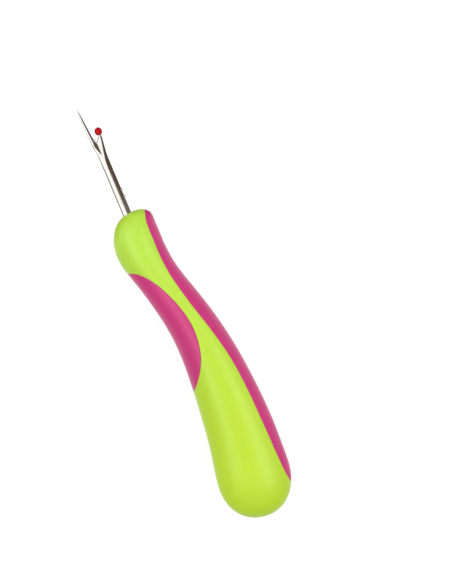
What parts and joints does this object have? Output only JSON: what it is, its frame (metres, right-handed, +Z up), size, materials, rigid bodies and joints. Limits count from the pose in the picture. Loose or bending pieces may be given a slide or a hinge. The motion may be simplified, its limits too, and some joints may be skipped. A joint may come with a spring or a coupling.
{
  "type": "seam ripper",
  "caption": "Seam ripper with a curved, softly inlaid ergonomic handle, a forked steel blade with a ground cutting crotch, a long pick point and a round guard ball.",
  "frame": {"origin": "middle of the footprint, on the surface that the tool lies on", "axes": "+X along the shank towards the pick point, +Y towards the finger side of the handle, +Z up through the handle's thickness"},
  "size_m": [0.1448, 0.0262, 0.0177],
  "materials": {
    "fork_steel": "bright nickel plate, lightly ground on the blade",
    "ball_red": "glossy moulded bead",
    "handle_lime": "satin moulded plastic",
    "core_plastic": "natural unpainted plastic, hidden",
    "grip_pink": "soft-touch thermoplastic rubber"
  },
  "bodies": {
    "root": {"fork": "fork_steel", "guard_ball": "ball_red", "handle_body": "handle_lime", "handle_core": "core_plastic", "belly_grip": "grip_pink", "back_grip": "grip_pink"}
  },
  "joints": []
}
